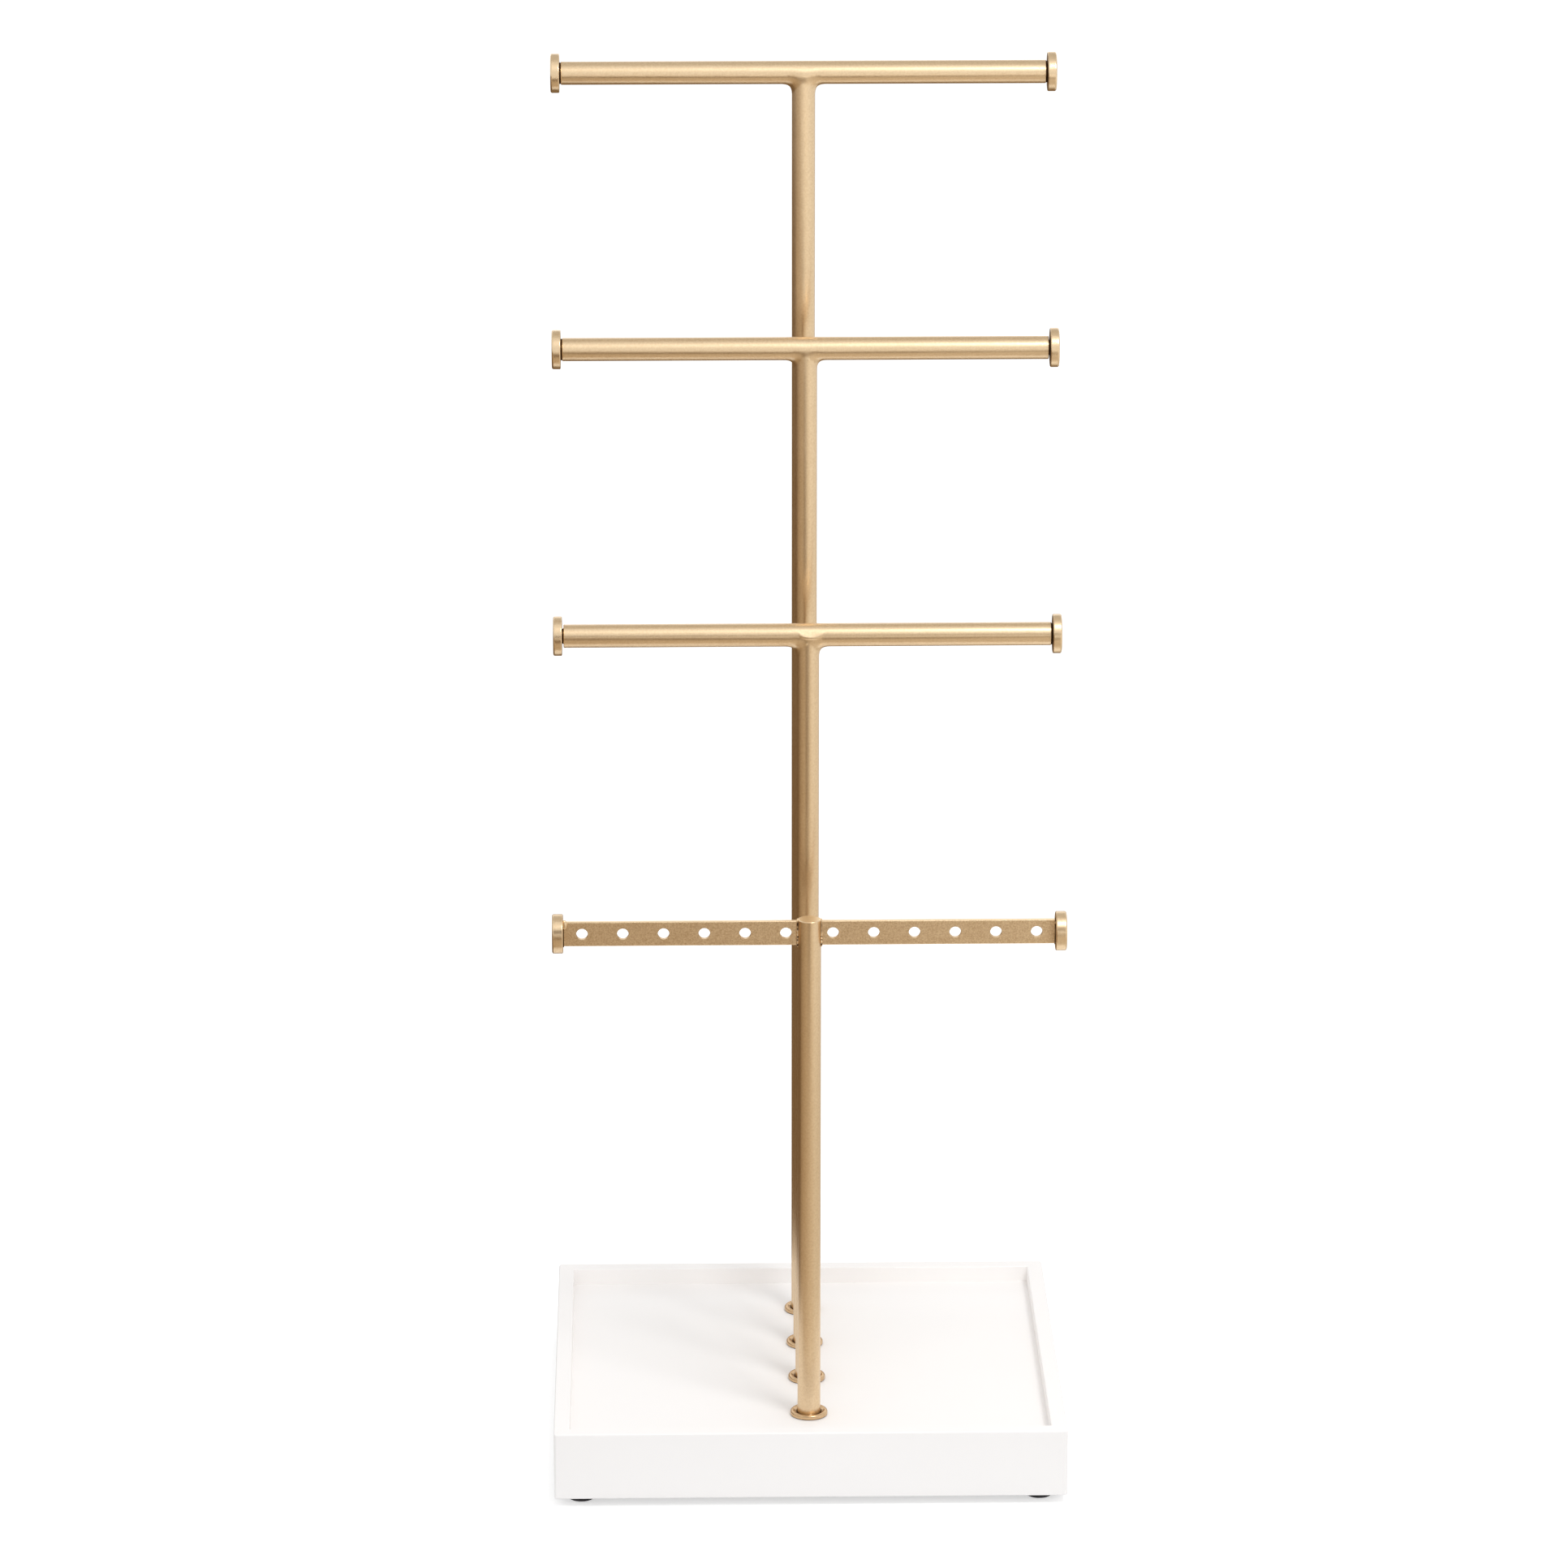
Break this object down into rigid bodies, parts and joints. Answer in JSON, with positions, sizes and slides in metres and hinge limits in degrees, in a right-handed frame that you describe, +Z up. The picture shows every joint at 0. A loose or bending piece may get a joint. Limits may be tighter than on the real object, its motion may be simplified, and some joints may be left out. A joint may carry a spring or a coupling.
{
  "type": "jewelry tree",
  "caption": "Free-standing jewelry tree: brass-toned T-shaped posts of rising height in a row on a shallow white tray, with round bars, a drilled earring bar and disc end caps.",
  "frame": {"origin": "on the standing surface, under the middle of the tray", "axes": "+Z up, +X to the right along the bars, -Y towards the front, where the drilled bar is"},
  "size_m": [0.2, 0.185, 0.5449],
  "materials": {
    "brass_coat": "satin metallic powder coat, champagne brass",
    "white_lacquer": "satin white lacquer on fibreboard",
    "black_rubber": "matte black",
    "zinc_plate": "bright zinc plate"
  },
  "bodies": {
    "tray": {"tray_floor": "white_lacquer", "front_rail": "white_lacquer", "back_rail": "white_lacquer", "left_rail": "white_lacquer", "right_rail": "white_lacquer", "front_left_foot": "black_rubber", "front_right_foot": "black_rubber", "back_left_foot": "black_rubber", "back_right_foot": "black_rubber", "earring_collar": "brass_coat", "earring_washer": "zinc_plate", "lower_collar": "brass_coat", "lower_washer": "zinc_plate", "middle_collar": "brass_coat", "middle_washer": "zinc_plate", "upper_collar": "brass_coat", "upper_washer": "zinc_plate"},
    "earring_tee": {"earring_post": "brass_coat", "earring_left_bar": "brass_coat", "earring_right_bar": "brass_coat", "earring_left_cap": "brass_coat", "earring_right_cap": "brass_coat", "earring_screw": "zinc_plate"},
    "lower_tee": {"lower_post": "brass_coat", "lower_bar": "brass_coat", "lower_left_cap": "brass_coat", "lower_right_cap": "brass_coat", "lower_screw": "zinc_plate"},
    "middle_tee": {"middle_post": "brass_coat", "middle_bar": "brass_coat", "middle_left_cap": "brass_coat", "middle_right_cap": "brass_coat", "middle_screw": "zinc_plate"},
    "upper_tee": {"upper_post": "brass_coat", "upper_bar": "brass_coat", "upper_left_cap": "brass_coat", "upper_right_cap": "brass_coat", "upper_screw": "zinc_plate"}
  },
  "joints": [
    {"name": "earring_swivel", "type": "hinge", "parent": "tray", "child": "earring_tee", "pos_m": [0, -0.05625, 0.0238], "axis": [0, 0, 1], "range_deg": [-80, 80]},
    {"name": "lower_swivel", "type": "hinge", "parent": "tray", "child": "lower_tee", "pos_m": [0, -0.01875, 0.0238], "axis": [0, 0, 1], "range_deg": [-75, 75]},
    {"name": "middle_swivel", "type": "hinge", "parent": "tray", "child": "middle_tee", "pos_m": [0, 0.01875, 0.0238], "axis": [0, 0, 1], "range_deg": [-75, 75]},
    {"name": "upper_swivel", "type": "hinge", "parent": "tray", "child": "upper_tee", "pos_m": [0, 0.05625, 0.0238], "axis": [0, 0, 1], "continuous": true}
  ]
}
